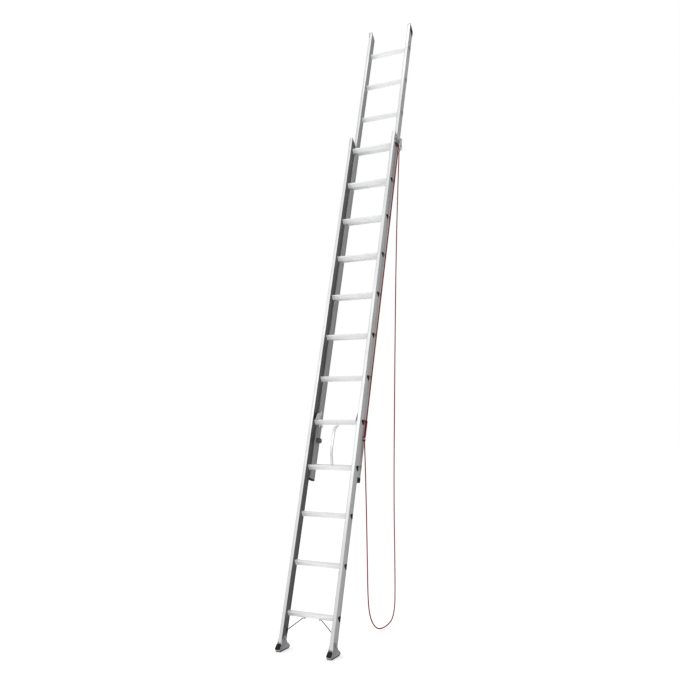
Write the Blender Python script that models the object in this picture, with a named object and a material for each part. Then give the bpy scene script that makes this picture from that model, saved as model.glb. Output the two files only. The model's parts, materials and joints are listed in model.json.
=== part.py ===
"""Two-section aluminium extension ladder, leaning as in use.

World frame: metres, +Z up, X across the rungs, the climber stands on the -Y side.
The ladder's own frame: x across, d = depth behind the base rails' front faces,
s = distance up the slope from the floor line of those faces.
"""
import math

import bpy
import bmesh
from mathutils import Matrix, Vector

# ---------------------------------------------------------------- driving sizes
LEAN = math.radians(74.0)      # slope of the ladder, from the floor
PITCH = 0.340                  # rung to rung
RUNGS = 12                     # in each section
FIRST = 0.268                  # s of the first tread's front edge
BASE_WIDE = 0.418              # outside the base rails
FLY_WIDE = BASE_WIDE - 0.020   # outside the fly rails
RAIL_X = 0.027                 # width of every rail
BASE_DEEP = 0.066              # depth of the base rails
FLY_DEEP = 0.064               # depth of the fly rails
RAIL_GAP = 0.004               # running gap between base and fly rails
WALL = 0.0018                  # rail wall
BASE_LOW = 0.059               # s of the base rails' lower ends
TOP_SLANT = 0.042              # how much lower the back of a rail's top is
RUNG_SET = 0.026               # tread's front edge behind the rail's front face
RUNG_WALL = 0.0016
FIT = 0.0003                   # gap between pieces that touch in the real thing
RAISED = 3                     # rungs the fly is raised by, as modelled
PIVOT_S, PIVOT_D = 0.085, 0.036    # foot pivot
PIN_R = 0.005                  # foot pin
LOCK_PIN_R = 0.004
ROPE_R = 0.0045
WHEEL_R = 0.0285               # to the middle of the rope
GUIDE_LONG = 0.058             # a guide plate's front edge, along the slope
WRAP_STEP = 15                 # degrees between the rope's points on the wheel

# ---------------------------------------------------------------- derived sizes
CO, SI = math.cos(LEAN), math.sin(LEAN)
FLY_D = BASE_DEEP + RAIL_GAP
FLY_UP = FLY_D * CO / SI       # puts fly treads level with base treads
FLY_FIRST = FIRST + RAISED * PITCH + FLY_UP
BASE_TOP = FIRST + (RUNGS - 1) * PITCH + 0.098
FLY_LOW = FLY_FIRST - 0.110
FLY_TOP = FLY_FIRST + (RUNGS - 1) * PITCH + 0.224
GUIDE_S = BASE_TOP - 0.076     # a guide plate's lower edge
PULLEY_D, PULLEY_S = FLY_D + 0.036, BASE_TOP - 0.094    # the wheel's middle
EYE_D, EYE_S = FLY_D + 0.034, FLY_LOW + 0.312
BASE_IN = BASE_WIDE / 2 - RAIL_X
FLY_IN = FLY_WIDE / 2 - RAIL_X
HOOKED = FIRST + 4 * PITCH     # tread of the rung the locks hang on
GUIDE_X = BASE_WIDE / 2 + FIT
GUIDE_T = 0.002
CHEEK_T = 0.0015
WHEEL_HALF = ROPE_R + 0.0015
WHEEL_X = GUIDE_X + GUIDE_T + FIT + CHEEK_T + 0.001 + WHEEL_HALF
ORIGIN_Y = PIVOT_S * CO + PIVOT_D * SI
TREAD = ((0.002, 0), (0.032, 0), (0.034, -0.002), (0.034, -0.008), (0.0270, -0.0345),
         (0.0245, -0.0370), (0.0195, -0.0370), (0.0165, -0.0345), (0, -0.009), (0, -0.002))

for old in list(bpy.data.objects):
    bpy.data.objects.remove(old, do_unlink=True)
scene = bpy.context.scene


def material(name, colour, rough, metal):
    m = bpy.data.materials.new(name)
    m.use_nodes = True
    shader = m.node_tree.nodes["Principled BSDF"]
    shader.inputs["Base Color"].default_value = (*colour, 1)
    shader.inputs["Roughness"].default_value = rough
    shader.inputs["Metallic"].default_value = metal
    return m


RAIL_METAL = ("rail_aluminium", (0.72, 0.73, 0.74), 0.38, 1.0)
RUNG_METAL = ("rung_aluminium", (0.80, 0.81, 0.82), 0.34, 1.0)
STEEL = ("zinc_steel", (0.56, 0.58, 0.60), 0.32, 1.0)
CAST = ("cast_aluminium", (0.52, 0.53, 0.54), 0.55, 1.0)
RUBBER = ("black_rubber", (0.025, 0.027, 0.022), 0.82, 0.0)
PLASTIC = ("black_plastic", (0.02, 0.02, 0.022), 0.45, 0.0)
NYLON = ("pale_nylon", (0.78, 0.77, 0.74), 0.45, 0.0)
ROPE = ("red_rope", (0.45, 0.02, 0.02), 0.85, 0.0)


def to_world(x, d, s):
    """A point of the ladder's frame in the world."""
    return Vector((x, s * CO + d * SI - ORIGIN_Y, s * SI - d * CO))


def from_level(y, z, d0=0.0, s0=0.0):
    """(d, s) of a point given level and upright from the point (d0, s0)."""
    return d0 + y * SI - z * CO, s0 + y * CO + z * SI


TILT = Matrix(((1, 0, 0, 0), (0, SI, CO, -ORIGIN_Y), (0, -CO, SI, 0), (0, 0, 0, 1)))


def add(name, bm, look, tilt=TILT):
    """Makes an object of bm, whose points are in the frame that tilt carries to the world."""
    bmesh.ops.recalc_face_normals(bm, faces=bm.faces)
    mesh = bpy.data.meshes.new(name)
    bm.to_mesh(mesh)
    bm.free()
    obj = bpy.data.objects.new(name, mesh)
    scene.collection.objects.link(obj)
    obj.matrix_world = tilt
    if look:
        mesh.materials.append(material(name + "_" + look[0], *look[1:]))
    return obj


def loops_to_mesh(loops, bm=None, closed=False):
    """Skins a row of equal loops of points; closed joins the last to the first, else both get caps."""
    bm = bm or bmesh.new()
    rows = [[bm.verts.new(p) for p in loop] for loop in loops]
    pairs = list(zip(rows, rows[1:]))
    if closed:
        pairs.append((rows[-1], rows[0]))
    for a, b in pairs:
        for i in range(len(a)):
            j = (i + 1) % len(a)
            bm.faces.new((a[i], a[j], b[j], b[i]))
    if not closed:
        bm.faces.new(rows[0])
        bm.faces.new(list(reversed(rows[-1])))
    return bm


def along_x(outline, x0, x1, bm=None):
    """Extrudes a (y, z) or (d, s) outline from x0 to x1."""
    return loops_to_mesh([[(x, a, b) for a, b in outline] for x in (x0, x1)], bm)


def cylinder_x(x0, x1, a, b, r, n=24, bm=None):
    ring = [(a + r * math.cos(2 * math.pi * i / n), b + r * math.sin(2 * math.pi * i / n))
            for i in range(n)]
    return along_x(ring, x0, x1, bm)


def inset(outline, by):
    """The outline moved inwards by a distance; it is convex and any way round."""
    n = len(outline)
    area = sum(outline[i][0] * outline[(i + 1) % n][1] - outline[(i + 1) % n][0] * outline[i][1]
               for i in range(n))
    side = 1 if area > 0 else -1
    moved = []
    for i in range(n):
        p, q, r = outline[i - 1], outline[i], outline[(i + 1) % n]
        lines = []
        for u, v in ((p, q), (q, r)):
            dx, dy = v[0] - u[0], v[1] - u[1]
            length = math.hypot(dx, dy)
            nx, ny = -side * dy / length, side * dx / length
            lines.append((nx, ny, nx * u[0] + ny * u[1] + by))
        (a, b, c), (e, f, g) = lines
        det = a * f - b * e
        moved.append(((c * f - b * g) / det, (a * g - c * e) / det))
    return moved


def cut(obj, cutter_bm, tilt=TILT, how="DIFFERENCE"):
    """Applies one exact Boolean to the object's mesh."""
    tool = add(obj.name + "_cutter", cutter_bm, None, tilt=tilt)
    mod = obj.modifiers.new("cut", "BOOLEAN")
    mod.operation, mod.solver, mod.object = how, "EXACT", tool
    bpy.context.view_layer.update()
    graph = bpy.context.evaluated_depsgraph_get()
    done = bpy.data.meshes.new_from_object(obj.evaluated_get(graph))
    obj.modifiers.remove(mod)
    bpy.data.objects.remove(tool, do_unlink=True)
    obj.data = done


def grown_tread(d0, s0, by):
    return [from_level(y, z, d0, s0) for y, z in inset(TREAD, -by)]


def rail(name, x_in, x_out, d0, deep, low, top, rungs, holes):
    """A hollow extrusion with a slanted top, openings for the rungs and pin holes.

    holes: (x0, x1, d, s, radius) of each round hole.
    """
    def section(x0, x1, e0, e1, c):
        return [(x0 + c, e0), (x1 - c, e0), (x1, e0 + c), (x1, e1 - c),
                (x1 - c, e1), (x0 + c, e1), (x0, e1 - c), (x0, e0 + c)]

    lo, hi = min(x_in, x_out), max(x_in, x_out)
    outer = section(lo, hi, d0, d0 + deep, 0.0015)
    inner = section(lo + WALL, hi - WALL, d0 + WALL, d0 + deep - WALL, 0.0006)

    def height(d):
        return top - TOP_SLANT * (d - d0) / deep

    loops = [[(x, d, low) for x, d in outer], [(x, d, height(d)) for x, d in outer],
             [(x, d, height(d)) for x, d in inner], [(x, d, low) for x, d in inner]]
    obj = add(name, loops_to_mesh(loops, closed=True), RAIL_METAL)
    tools = bmesh.new()
    for s in rungs:
        along_x(grown_tread(d0 + RUNG_SET, s, FIT), lo - 0.01, hi + 0.01, tools)
    for x0, x1, d, s, r in holes:
        cylinder_x(x0, x1, d, s, r, 20, tools)
    cut(obj, tools)
    return obj


def rung(name, d, s, half):
    outer = [from_level(y, z, d, s) for y, z in TREAD]
    inner = [from_level(y, z, d, s) for y, z in inset(TREAD, RUNG_WALL)]
    loops = [[(x, *p) for p in ring] for x, ring in
             ((-half, outer), (half, outer), (half, inner), (-half, inner))]
    return add(name, loops_to_mesh(loops, closed=True), RUNG_METAL)


def bend(path, thick):
    """The closed outline of a strip that follows the (a, b) path with the path as its middle."""
    left, right = [], []
    for i, p in enumerate(path):
        before, after = path[max(i - 1, 0)], path[min(i + 1, len(path) - 1)]
        u = Vector((p[0] - before[0], p[1] - before[1]))
        v = Vector((after[0] - p[0], after[1] - p[1]))
        u, v = (u or v).normalized(), (v or u).normalized()
        way = (u + v).normalized()
        reach = thick / 2 / max(way.dot(v), 0.5)
        left.append((p[0] - way.y * reach, p[1] + way.x * reach))
        right.append((p[0] + way.y * reach, p[1] - way.x * reach))
    return left + right[::-1]


def lathe_x(profile, x, a, b, n=32):
    """Turns an (r, x) ring profile about the x direction through (a, b)."""
    loops = [[(x + px, a + r * math.cos(t), b + r * math.sin(t)) for r, px in profile]
             for t in (2 * math.pi * i / n for i in range(n))]
    return loops_to_mesh(loops, closed=True)


# ---------------------------------------------------------------- the two sections
base_rungs = [FIRST + i * PITCH for i in range(RUNGS)]
fly_rungs = [FLY_FIRST + i * PITCH for i in range(RUNGS)]
LOCK_Y, LOCK_Z = FLY_D - 0.017, -0.015      # the lock's pivot, level and upright from its rung
LOCK_D, LOCK_S = from_level(LOCK_Y, LOCK_Z, RUNG_SET, HOOKED)
for side, sx in (("left", -1), ("right", 1)):
    base_pin = [(-0.3, 0.3, PIVOT_D, PIVOT_S, PIN_R + FIT)]
    rail("base_rail_" + side, sx * BASE_IN, sx * BASE_WIDE / 2, 0, BASE_DEEP,
         BASE_LOW, BASE_TOP, base_rungs, base_pin)
    lock_pin = [(sx * (FLY_IN - 0.01), sx * (FLY_IN + 0.01), LOCK_D, LOCK_S,
                 LOCK_PIN_R + FIT)]
    rail("fly_rail_" + side, sx * FLY_IN, sx * FLY_WIDE / 2, FLY_D, FLY_DEEP,
         FLY_LOW, FLY_TOP, fly_rungs, lock_pin)
for i in range(RUNGS):
    rung(f"base_rung_{i + 1:02d}", RUNG_SET, base_rungs[i], BASE_WIDE / 2)
    rung(f"fly_rung_{i + 1:02d}", FLY_D + RUNG_SET, fly_rungs[i], FLY_WIDE / 2)

# ---------------------------------------------------------------- struts under the first rung
for side, sx in (("left", -1), ("right", 1)):
    rail_x = BASE_IN - FIT - 0.0013
    path = [(rail_x, FIRST - 0.140), (rail_x, FIRST - 0.121),
            (0.4 * BASE_IN, FIRST - 0.0337), (0.4 * BASE_IN - 0.020, FIRST - 0.0337)]
    strip = [(sx * x, s) for x, s in bend(path, 0.0025)]
    loops = [[(x, d, s) for x, s in strip] for d in (0.049, 0.063)]
    add("base_brace_" + side, loops_to_mesh(loops), STEEL)

# ---------------------------------------------------------------- guides at the base's top
for side, sx in (("left", -1), ("right", 1)):
    back = FLY_D + FLY_DEEP + 0.001
    x0, x1 = GUIDE_X, GUIDE_X + GUIDE_T
    hook_x = FLY_WIDE / 2 - 0.016
    outline = [(x0, 0.001), (x1, 0.001), (x1, back + GUIDE_T), (hook_x, back + GUIDE_T),
               (hook_x, back), (x0, back)]
    loops = [[(sx * x, d, s + 0.10 * (d if top else 0)) for x, d in outline]
             for s, top in ((GUIDE_S, 0), (GUIDE_S + GUIDE_LONG, 1))]
    obj = add("base_guide_" + side, loops_to_mesh(loops), STEEL)
    holes = bmesh.new()
    for d in (0.019, 0.048):
        cylinder_x(sx * (x0 - 0.01), sx * (x1 + 0.01), d, GUIDE_S + 0.032, 0.0050, 16, holes)
    cut(obj, holes)

# ---------------------------------------------------------------- pulley
px, pd, ps = WHEEL_X, PULLEY_D, PULLEY_S
axle_r = PIN_R - 0.001
rim = WHEEL_R + ROPE_R
floor = WHEEL_R - ROPE_R - FIT
groove = [(rim, WHEEL_HALF), (rim, WHEEL_HALF - 0.0004), (rim - 0.0045, WHEEL_HALF - 0.0009), (floor + 0.0012, 0.0035),
          (floor, 0.0012)]
profile = [(axle_r + FIT, WHEEL_HALF)] + groove + [(r, -x) for r, x in reversed(groove)]
profile.append((axle_r + FIT, -WHEEL_HALF))
at = TILT @ Matrix.Translation((px, pd, ps))
add("pulley_wheel", lathe_x(profile, 0, 0, 0), NYLON, tilt=at)
in_x = GUIDE_X + GUIDE_T + FIT
out_x = px + WHEEL_HALF + 0.001
strap = [(in_x, ps - 0.012), (in_x + CHEEK_T, ps - 0.012), (in_x + CHEEK_T, ps + 0.070),
         (out_x, ps + 0.070), (out_x, ps - 0.012), (out_x + CHEEK_T, ps - 0.012),
         (out_x + CHEEK_T, ps + 0.0715), (in_x, ps + 0.0715)]
loops = [[(x, d, s) for x, s in strap] for d in (pd - 0.0065, pd + 0.0065)]
cheek = add("pulley_bracket", loops_to_mesh(loops), STEEL)
cut(cheek, cylinder_x(in_x - 0.005, out_x + 0.005, pd, ps, axle_r + FIT, 20))
pin = bmesh.new()
head = out_x + CHEEK_T + FIT
steps = [(in_x, axle_r), (head, axle_r), (head, 0.0060), (head + 0.0032, 0.0060)]
loops_to_mesh([[(x, pd + q * math.cos(t), ps + q * math.sin(t))
                for t in (2 * math.pi * i / 20 for i in range(20))] for x, q in steps], pin)
add("pulley_axle", pin, STEEL)

# ---------------------------------------------------------------- caps on the fly rails
for side, sx in (("left", -1), ("right", 1)):
    d0, d1 = FLY_D, FLY_D + FLY_DEEP
    x_in, x_out = FLY_IN, FLY_WIDE / 2 + FIT

    def slope(d):
        return FLY_TOP - TOP_SLANT * (d - d0) / FLY_DEEP + FIT

    outline = [(x_in, 0), (x_in, 0.0035), (x_out + 0.0018, 0.0035), (x_out + 0.0018, -0.046),
               (x_out, -0.046), (x_out, 0)]
    loops = [[(sx * x, d, slope(d) + h) for x, h in outline] for d in (d0 - 0.001, d1 + 0.0012)]
    add("fly_top_cap_" + side, loops_to_mesh(loops), PLASTIC)
    low = FLY_LOW - FIT
    outline = [(x_in, low), (x_in, low - 0.010), (x_out - 0.002, low - 0.010),
               (x_out + 0.0015, low - 0.007), (x_out + 0.0015, low + 0.026), (x_out, low + 0.026),
               (x_out, low)]
    loops = [[(sx * x, d, s) for x, s in outline] for d in (d0, d1)]
    add("fly_end_cap_" + side, loops_to_mesh(loops), PLASTIC)

# ---------------------------------------------------------------- rung locks
# Level and upright from the rung's tread: the claw, and from the pivot: the plate.
CLAW = ((-0.0125, -0.0100), (-0.0060, -0.0085), (-0.0062, 0.0020), (-0.0045, 0.0075), (0.0, 0.0098),
        (0.0045, 0.0075), (0.0062, 0.0014), (0.0330, 0.0010))
PLATE = ((-0.0155, 0.0154), (-0.0145, -0.0050), (-0.0130, -0.0280), (-0.0100, -0.0410),
         (-0.0050, -0.0410), (0.0010, -0.0290), (0.0190, -0.0300), (0.0370, -0.0360),
         (0.0480, -0.0480), (0.0510, -0.0340), (0.0400, -0.0265), (0.0160, -0.0175),
         (0.0070, -0.0100), (0.0070, 0.0230), (0.0130, 0.0400), (0.0300, 0.0550),
         (0.0290, 0.0750), (0.0150, 0.0830), (0.0110, 0.0700), (-0.0130, 0.0640))
BACK = ((0.0200, 0.0500), (0.0050, 0.0260), (-0.0080, 0.0060), (-0.0130, -0.0040))
HOOK = CLAW + tuple((y + LOCK_Y, z + LOCK_Z) for y, z in PLATE) + BACK
for side, sx in (("left", -1), ("right", 1)):
    flat = [from_level(y, z, RUNG_SET, HOOKED) for y, z in HOOK]
    flat = [(d - LOCK_D, s - LOCK_S) for d, s in flat]
    x0, x1 = sx * (FLY_IN - 0.008), sx * (FLY_IN - 0.003)
    middle = (x0 + x1) / 2
    tilt = TILT @ Matrix.Translation((middle, LOCK_D, LOCK_S))
    hook = add("lock_hook_" + side, along_x(flat, x0 - middle, x1 - middle), STEEL, tilt=tilt)
    cut(hook, cylinder_x(-0.01, 0.01, 0, 0, LOCK_PIN_R + FIT, 20), tilt=tilt)
    pin = bmesh.new()
    steps = [(FLY_IN - 0.0125, 0.0070), (FLY_IN - 0.0085, 0.0070), (FLY_IN - 0.0085, LOCK_PIN_R),
             (FLY_IN + WALL + FIT, LOCK_PIN_R), (FLY_IN + WALL + FIT, 0.0065),
             (FLY_IN + WALL + 0.0023, 0.0065)]
    loops_to_mesh([[(sx * x, LOCK_D + q * math.cos(t), LOCK_S + q * math.sin(t))
                    for t in (2 * math.pi * i / 20 for i in range(20))] for x, q in steps], pin)
    add("lock_pin_" + side, pin, STEEL)
    block = [(FLY_D + d, HOOKED + s) for d, s in
             ((0.002, -0.156), (0.050, -0.156), (0.057, -0.147), (0.057, -0.133), (0.046, -0.122),
              (0.002, -0.126))]
    add("lock_bracket_" + side, along_x(block, sx * (FLY_IN - 0.020), sx * (FLY_IN - FIT)), PLASTIC)
    turns, steps_per_turn, wire, coil = 8, 8, 0.0013, 0.0060
    low, high = HOOKED - 0.1225, HOOKED - 0.0440
    loops = []
    for i in range(turns * steps_per_turn + 1):
        t = 2 * math.pi * i / steps_per_turn
        s = low + (high - low) * i / (turns * steps_per_turn)
        loops.append([(sx * (FLY_IN - 0.0090) + (coil + wire * math.cos(a)) * math.cos(t),
                       FLY_D + 0.0148 + (coil + wire * math.cos(a)) * math.sin(t),
                       s + wire * math.sin(a))
                      for a in (math.pi / 4 + math.pi / 2 * k for k in range(4))])
    add("lock_spring_" + side, loops_to_mesh(loops), STEEL)

# ---------------------------------------------------------------- carry handle
route = [(0.060, -0.0360), (0.050, -0.0415), (0.032, -0.056), (0.017, -0.074), (0.011, -0.120),
         (0.011, 0.140 - PITCH), (0.018, 0.078 - PITCH), (0.034, 0.048 - PITCH),
         (0.043, 0.028 - PITCH), (0.045, 0.0075 - PITCH)]
strip = bend([(d, HOOKED + s) for d, s in route], 0.008)
add("carry_handle", along_x(strip, -0.010, 0.010), RUNG_METAL)

# ---------------------------------------------------------------- feet
pivot = to_world(0, PIVOT_D, PIVOT_S)
rail_mid = BASE_WIDE / 2 - RAIL_X / 2
CHEEK_IN = RAIL_X / 2 + FIT    # inside of a foot's cheeks
CHEEK_OUT = CHEEK_IN + 0.004
SOLE = ((-0.0715, 0.0080), (0.0400, 0.0080), (0.0610, 0.0175), (0.0610, 0.0225), (0.0380, 0.0145),
        (-0.0715, 0.0145))
CHEEK = ((-0.0710, 0.0100), (-0.0710, 0.0200), (-0.0500, 0.0445), (-0.0400, 0.0635),
         (-0.0270, 0.0820), (-0.0130, 0.0960), (0.0080, 0.0960), (0.0170, 0.0780), (0.0225, 0.0600),
         (0.0350, 0.0400), (0.0590, 0.0270), (0.0610, 0.0180), (0.0395, 0.0100))
PAD = ((-0.0650, 0.0020), (-0.0620, 0), (0.0430, 0), (0.0640, 0.0098), (0.0640, 0.0180),
       (0.0613, 0.0180), (0.0613, 0.0173), (0.0401, 0.0077), (-0.0650, 0.0077))
TOE_FACE = ((-0.0713, 0.0206), (-0.0505, 0.0449), (-0.0538, 0.0480), (-0.0768, 0.0214),
            (-0.0760, 0.0190))
TOE_STEM = ((-0.0740, 0.0180), (-0.0360, 0.0150), (-0.0360, 0.0300), (-0.0525, 0.0462))
for side, sx in (("left", -1), ("right", 1)):
    at = Matrix.Translation((sx * rail_mid, pivot.y, pivot.z))

    def about_pin(outline):
        return [(y, z - pivot.z) for y, z in outline]

    shoe = add("foot_casting_" + side, along_x(about_pin(SOLE), -CHEEK_OUT, CHEEK_OUT), CAST, tilt=at)
    for x0, x1 in ((-CHEEK_OUT, -CHEEK_IN), (CHEEK_IN, CHEEK_OUT)):
        cut(shoe, along_x(about_pin(CHEEK), x0, x1), tilt=at, how="UNION")
    cut(shoe, cylinder_x(-0.05, 0.05, 0, 0, PIN_R + FIT, 20), tilt=at)
    add("foot_pad_" + side, along_x(about_pin(PAD), -CHEEK_OUT, CHEEK_OUT), RUBBER, tilt=at)
    toe = add("foot_toe_" + side, along_x(about_pin(TOE_FACE), -CHEEK_OUT, CHEEK_OUT), RUBBER, tilt=at)
    stem_x = CHEEK_IN - FIT
    cut(toe, along_x(about_pin(TOE_STEM), -stem_x, stem_x), tilt=at, how="UNION")
    pin = bmesh.new()
    reach = CHEEK_OUT + FIT
    steps = [(-reach - 0.0045, 0.0085), (-reach, 0.0085), (-reach, PIN_R), (reach, PIN_R),
             (reach, 0.0085), (reach + 0.0045, 0.0085)]
    loops_to_mesh([[(sx * rail_mid + x, PIVOT_D + q * math.cos(t), PIVOT_S + q * math.sin(t))
                    for t in (2 * math.pi * i / 20 for i in range(20))] for x, q in steps], pin)
    add("foot_pin_" + side, pin, STEEL)

# ---------------------------------------------------------------- rope eye and rope
x0 = FLY_WIDE / 2 + FIT
eye = [(x0, EYE_S - 0.016), (x0 + 0.002, EYE_S - 0.016), (x0 + 0.002, EYE_S - 0.0015),
       (x0 + 0.018, EYE_S - 0.0015), (x0 + 0.018, EYE_S + 0.0015), (x0 + 0.002, EYE_S + 0.0015),
       (x0 + 0.002, EYE_S + 0.016), (x0, EYE_S + 0.016)]
loops = [[(x, d, s) for x, s in eye] for d in (EYE_D - 0.010, EYE_D + 0.010)]
add("rope_eye", loops_to_mesh(loops), STEEL)

ROPE_X = WHEEL_X
EYE_X = x0 + 0.010


def smooth_route(points, count):
    """Evenly spaced points on a smooth curve through the given ones."""
    ext = [points[0] * 2 - points[1]] + points + [points[-1] * 2 - points[-2]]
    fine = []
    for i in range(1, len(ext) - 2):
        p0, p1, p2, p3 = ext[i - 1:i + 3]
        for k in range(24):
            t = k / 24
            fine.append(0.5 * (2 * p1 + (p2 - p0) * t + (2 * p0 - 5 * p1 + 4 * p2 - p3) * t * t
                               + (3 * p1 - p0 - 3 * p2 + p3) * t ** 3))
    fine.append(points[-1])
    at = [0.0]
    for a, b in zip(fine, fine[1:]):
        at.append(at[-1] + (b - a).length)
    out, j = [], 0
    for i in range(count):
        want = at[-1] * i / (count - 1)
        while j < len(at) - 2 and at[j + 1] < want:
            j += 1
        step = at[j + 1] - at[j]
        out.append(fine[j].lerp(fine[j + 1], (want - at[j]) / step if step else 0))
    return out


def rope(name, points):
    curve = bpy.data.curves.new(name, "CURVE")
    curve.dimensions, curve.bevel_depth, curve.bevel_resolution = "3D", ROPE_R, 2
    curve.use_fill_caps = True
    spline = curve.splines.new("POLY")
    spline.points.add(len(points) - 1)
    for target, p in zip(spline.points, points):
        target.co = (*p, 1)
    curve.materials.append(material(name + "_" + ROPE[0], *ROPE[1:]))
    obj = bpy.data.objects.new(name, curve)
    scene.collection.objects.link(obj)


def on_wheel(degrees):
    """A point of the rope's middle on the wheel, turned back from its front side."""
    t = math.radians(180 - degrees)
    reach = WHEEL_R / math.cos(math.radians(WRAP_STEP / 2))
    return to_world(ROPE_X, pd + reach * math.cos(t), ps + reach * math.sin(t))


def parted(points, i):
    """The route in two, with a gap of FIT in the middle of the stretch after point i."""
    middle, way = (points[i] + points[i + 1]) / 2, (points[i + 1] - points[i]).normalized()
    return points[:i + 1] + [middle - way * FIT / 2], [middle + way * FIT / 2] + points[i + 1:]


eye_top = to_world(EYE_X, EYE_D, EYE_S + 0.0015 + ROPE_R + FIT)
eye_low = to_world(EYE_X, EYE_D, EYE_S - 0.0015 - ROPE_R - FIT)
wrap = [on_wheel(7.5 + WRAP_STEP * i) for i in range(15)]
running, over = parted([eye_top.lerp(wrap[0], i / 7) for i in range(7)] + wrap, 7 + 5)
rope("rope_running", running)

# The free loop: down from the wheel, almost to the floor, and up to the eye. Each point is a share of
# the way from the eye to the wheel (x, then y) and a share of the wheel's or the eye's height.
wheel_at = on_wheel(180)
FALLING = ((0.971, 0.9353, 0.9884), (0.922, 0.9257, 0.9687), (0.864, 0.9052, 0.9295), (0.748, 0.8588, 0.8229),
           (0.699, 0.8219, 0.7132), (0.650, 0.7959, 0.6058), (0.602, 0.7741, 0.5009), (0.573, 0.7549, 0.3969),
           (0.553, 0.7372, 0.2948), (0.553, 0.7344, 0.2095), (0.553, 0.7426, 0.1309))
RISING = ((0.553, 0.7440, 0.1813), (0.553, 0.7303, 0.0943), (0.553, 0.6811, 0.0421), (0.553, 0.5937, 0.0174),
          (0.553, 0.4256, 0.0116), (0.553, 0.2794, 0.0261), (0.553, 0.1591, 0.0689), (0.505, 0.0881, 0.1305),
          (0.456, 0.0594, 0.2176), (0.359, 0.0498, 0.3771), (0.262, 0.0389, 0.5657), (0.165, 0.0280, 0.7252),
          (0.068, 0.0157, 0.8703))
free = [Vector((eye_low.x + u * (wheel_at.x - eye_low.x), eye_low.y + v * (wheel_at.y - eye_low.y), w * high))
        for group, high in ((FALLING, wheel_at.z), (RISING, eye_low.z)) for u, v, w in group]
top = smooth_route([over[-1]] + free[:2], 8)[1:]
rest = smooth_route(free[1:] + [eye_low], 56)
lowest = min(range(len(rest) - 1), key=lambda i: rest[i].z + rest[i + 1].z)
hanging, tail = parted(rest, lowest)
rope("rope_hanging", over + top + hanging[1:])
rope("rope_tail", tail)

# ---------------------------------------------------------------- smooth shading of the round pieces
for obj in bpy.data.objects:
    if obj.type == "MESH":
        obj.data.shade_smooth()
        obj.data.set_sharp_from_angle(angle=math.radians(32))
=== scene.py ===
# %% [markdown]
# # An aluminium extension ladder
# Two ladder sections share one slope. The base section stands on swivelling feet, and the fly section
# slides up behind it on a rope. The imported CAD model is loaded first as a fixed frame: it says where every
# rail and rung is, so each detailed piece below takes its place and size from there.

# %% Load the frame
import json
import math

import bmesh
import bpy
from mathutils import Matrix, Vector


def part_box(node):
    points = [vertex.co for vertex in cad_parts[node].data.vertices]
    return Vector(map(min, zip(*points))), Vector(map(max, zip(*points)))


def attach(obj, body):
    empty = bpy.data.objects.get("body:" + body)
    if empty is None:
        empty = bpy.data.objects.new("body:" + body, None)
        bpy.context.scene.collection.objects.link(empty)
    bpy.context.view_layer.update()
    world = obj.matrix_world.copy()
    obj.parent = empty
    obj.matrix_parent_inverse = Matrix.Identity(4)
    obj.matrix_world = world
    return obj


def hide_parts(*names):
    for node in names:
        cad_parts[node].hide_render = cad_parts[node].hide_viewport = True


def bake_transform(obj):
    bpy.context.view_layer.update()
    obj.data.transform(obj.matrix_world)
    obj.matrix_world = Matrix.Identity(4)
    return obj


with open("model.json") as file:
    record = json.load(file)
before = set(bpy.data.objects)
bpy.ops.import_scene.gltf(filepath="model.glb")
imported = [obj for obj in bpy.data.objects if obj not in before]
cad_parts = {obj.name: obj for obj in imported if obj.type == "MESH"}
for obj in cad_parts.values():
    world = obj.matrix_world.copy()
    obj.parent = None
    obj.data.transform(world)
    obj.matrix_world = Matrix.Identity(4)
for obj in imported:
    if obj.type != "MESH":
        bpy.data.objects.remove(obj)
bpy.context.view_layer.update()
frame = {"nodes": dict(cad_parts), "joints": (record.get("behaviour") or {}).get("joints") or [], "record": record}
record = frame["record"]
joints = {joint["name"]: joint for joint in frame["joints"]}
body_of_node = {node: body for body, nodes in record["behaviour"]["bodies"].items() for node in nodes}

# %% [markdown]
# ## The ladder's own directions
# The ladder leans, so upright boxes fit it badly. A maker measures it along its slope instead: x across
# the rungs, d for depth behind the base rails' front faces, s for distance up the slope. The slide joint
# gives the slope's direction, and the foot pin is the point that ties the two ways of measuring together.

# %% Ladder measures
UP = Vector(joints["fly_slide"]["axis"]).normalized()
BACK = Vector((0, UP.z, -UP.y))
PIVOT_D, PIVOT_S = 0.036, 0.085
foot_low, foot_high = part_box("foot_pin_left")
PIVOT = Vector((0, (foot_low.y + foot_high.y) / 2, (foot_low.z + foot_high.z) / 2))


def at(x, d, s):
    """The point x across, d deep and s up the slope."""
    return PIVOT + Vector((x, 0, 0)) + BACK * (d - PIVOT_D) + UP * (s - PIVOT_S)


def span(node):
    """Lowest and highest x, d and s of a CAD node."""
    low, high = [9.0] * 3, [-9.0] * 3
    for vertex in frame["nodes"][node].data.vertices:
        gap = vertex.co - PIVOT
        for i, value in enumerate((gap.x, gap.dot(BACK) + PIVOT_D, gap.dot(UP) + PIVOT_S)):
            low[i], high[i] = min(low[i], value), max(high[i], value)
    return low, high


base_low, base_high = span("base_rail_right")
fly_low, fly_high = span("fly_rail_right")
print("base rail x, d, s", [round(v, 4) for v in base_low], [round(v, 4) for v in base_high])
print("fly rail x, d, s", [round(v, 4) for v in fly_low], [round(v, 4) for v in fly_high])

# %% [markdown]
# ## The camera
# A ladder of five metres is looked at from about its own length away, near eye height and from the
# climber's right, so that its right-hand rails and its rope show. A 41.5 mm lens takes it in whole.

# %% Camera
lens = bpy.data.cameras.new("view_camera")
lens.lens, lens.sensor_width = 41.53, 36.0
camera = bpy.data.objects.new("view_camera", lens)
camera.location = (2.658, -4.752, 1.585)
camera.rotation_euler = (math.radians(95.54), 0, math.radians(26.95))
bpy.context.scene.collection.objects.link(camera)
bpy.context.scene.camera = camera

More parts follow.
